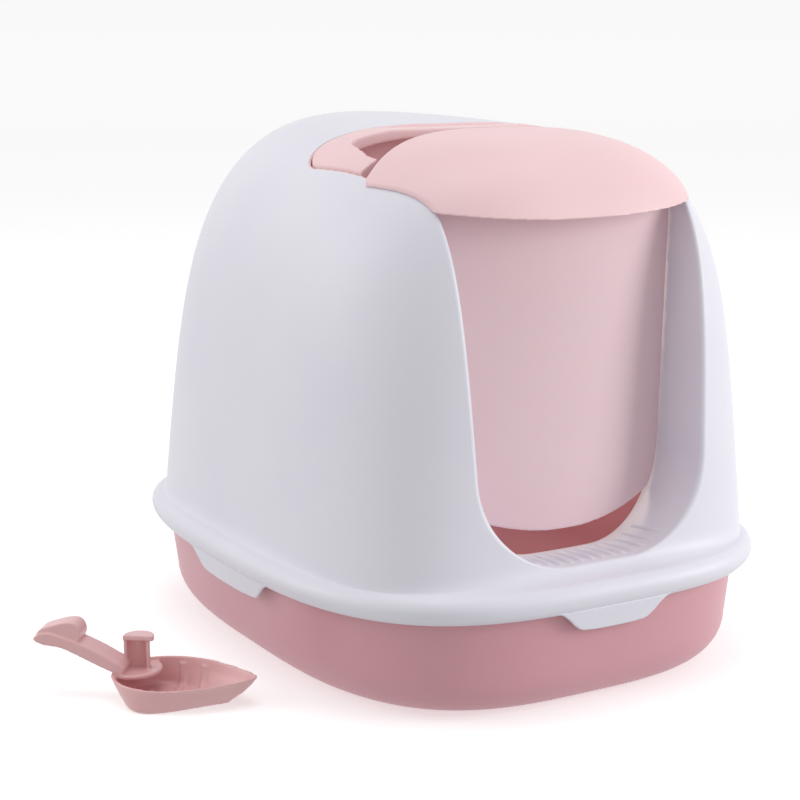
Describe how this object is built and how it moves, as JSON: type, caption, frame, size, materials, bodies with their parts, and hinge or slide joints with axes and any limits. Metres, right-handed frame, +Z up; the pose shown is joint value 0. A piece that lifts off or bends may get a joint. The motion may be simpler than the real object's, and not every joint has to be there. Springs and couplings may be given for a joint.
{
  "type": "hooded cat litter box",
  "caption": "Hooded cat litter box: open pan, domed lift-off hood with swing door, visor, carry handle and snap tabs, and a hooked scoop.",
  "frame": {"origin": "centre of the pan's flat underside, on the floor", "axes": "+Z up, entrance towards -Y, +X to the right when facing +Y"},
  "size_m": [0.5462, 0.4976, 0.4077],
  "materials": {
    "white_shell": "fine satin moulded plastic, cool white",
    "pink_shell": "satin moulded plastic, dusty pink",
    "visor_pink": "satin moulded plastic, light pink",
    "door_tint": "frosted translucent moulded plastic, pink tint",
    "scoop_pink": "semi-gloss moulded plastic, dusty pink",
    "pin_plastic": "plain moulded plastic",
    "charcoal_foam": "open charcoal filter foam"
  },
  "bodies": {
    "pan": {"litter_pan": "pink_shell"},
    "hood": {"hood_shell": "white_shell", "entrance_frame": "white_shell", "visor": "visor_pink", "handle_cup": "visor_pink", "handle_pin_left": "pin_plastic", "handle_pin_right": "pin_plastic", "door_pin_left": "pin_plastic", "door_pin_right": "pin_plastic", "filter_tray": "white_shell", "filter_pad": "charcoal_foam"},
    "door": {"door_flap": "door_tint"},
    "handle": {"carry_handle": "visor_pink"},
    "tab_front": {"latch_front": "white_shell"},
    "tab_back": {"latch_back": "white_shell"},
    "tab_left": {"latch_left": "white_shell"},
    "tab_right": {"latch_right": "white_shell"},
    "scoop": {"scoop": "scoop_pink"}
  },
  "joints": [
    {"name": "hood_lift", "type": "slide", "parent": "pan", "child": "hood", "axis": [0, 0, 1], "range_m": [0, 0.15]},
    {"name": "door_swing", "type": "hinge", "parent": "hood", "child": "door", "pos_m": [0, -0.163, 0.357], "axis": [1, 0, 0], "range_deg": [-50, 70]},
    {"name": "handle_raise", "type": "hinge", "parent": "hood", "child": "handle", "pos_m": [0, -0.084, 0.3705], "axis": [1, 0, 0], "range_deg": [0, 76]},
    {"name": "tab_front_pull", "type": "hinge", "parent": "hood", "child": "tab_front", "pos_m": [0, -0.244, 0.079], "axis": [-1, 0, 0], "range_deg": [0, 15], "stiffness_Nm_per_rad": 0.6},
    {"name": "tab_back_pull", "type": "hinge", "parent": "hood", "child": "tab_back", "pos_m": [0, 0.244, 0.079], "axis": [1, 0, 0], "range_deg": [0, 15], "stiffness_Nm_per_rad": 0.6},
    {"name": "tab_left_pull", "type": "hinge", "parent": "hood", "child": "tab_left", "pos_m": [-0.1952, 0, 0.079], "axis": [0, 1, 0], "range_deg": [0, 15], "stiffness_Nm_per_rad": 0.6},
    {"name": "tab_right_pull", "type": "hinge", "parent": "hood", "child": "tab_right", "pos_m": [0.1952, 0, 0.079], "axis": [0, -1, 0], "range_deg": [0, 15], "stiffness_Nm_per_rad": 0.6},
    {"name": "scoop_pick", "type": "slide", "parent": "pan", "child": "scoop", "axis": [0, 0, 1], "range_m": [0, 0.15]}
  ]
}
